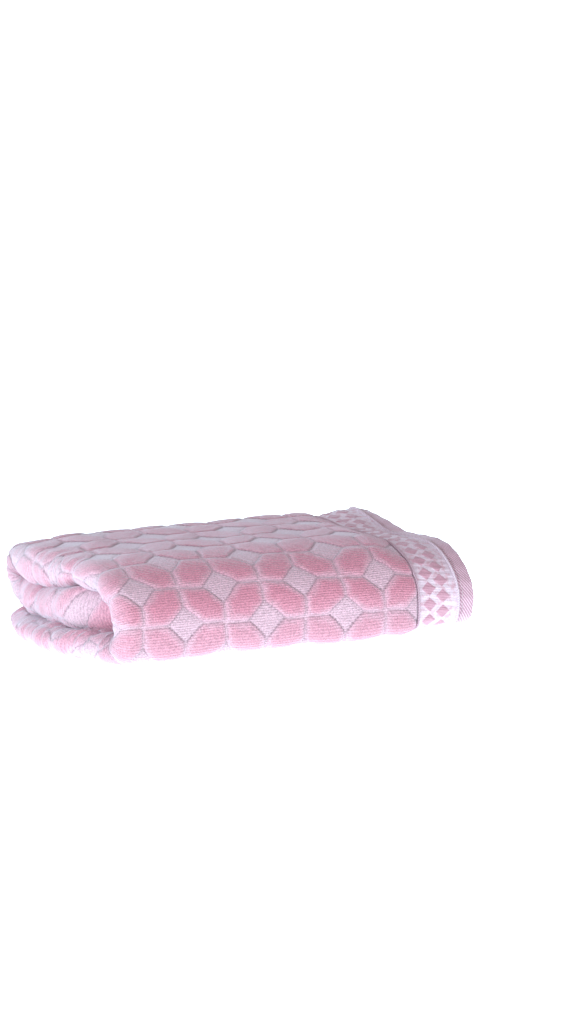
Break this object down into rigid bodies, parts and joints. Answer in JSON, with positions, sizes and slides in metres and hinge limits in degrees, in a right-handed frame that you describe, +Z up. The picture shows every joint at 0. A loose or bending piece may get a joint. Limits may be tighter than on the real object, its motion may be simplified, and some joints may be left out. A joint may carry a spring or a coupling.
{
  "type": "folded bath towel",
  "caption": "Thick terry bath towel folded into a flat stack, with rolled folds at one end and a woven border with turned hem at the other.",
  "frame": {"origin": "centre of the bounding box at its underside, on the surface that the folded towel lies on", "axes": "+X along the folded length, from the rolled folds towards the hems; +Y away from the big near fold; +Z up"},
  "size_m": [0.362, 0.205, 0.082],
  "materials": {
    "terry": "sculpted velour terry, rose petals on a pale ground",
    "border": "flat dobby weave with small rose lozenges on a pale ground",
    "cord": "raised woven cord ridge",
    "hem": "turned flat hem with a woven diagonal rib",
    "side_hem": "narrow turned selvedge",
    "thread": "twisted cotton lockstitch thread",
    "label": "blank woven satin tape"
  },
  "bodies": {
    "root": {"bottom_third": "terry", "near_fold": "terry", "top_third": "terry", "far_fold": "terry", "middle_third": "terry", "bottom_side_hem": "side_hem", "bottom_side_hem_thread": "thread", "middle_side_hem": "side_hem", "middle_side_hem_thread": "thread", "face_inner_cord": "cord", "face_border_band": "border", "face_outer_cord": "cord", "face_end_hem": "hem", "face_hem_thread": "thread", "back_inner_cord": "cord", "back_border_band": "border", "back_outer_cord": "cord", "back_end_hem": "hem", "back_hem_thread": "thread", "care_label": "label", "care_label_thread": "thread"}
  },
  "joints": []
}
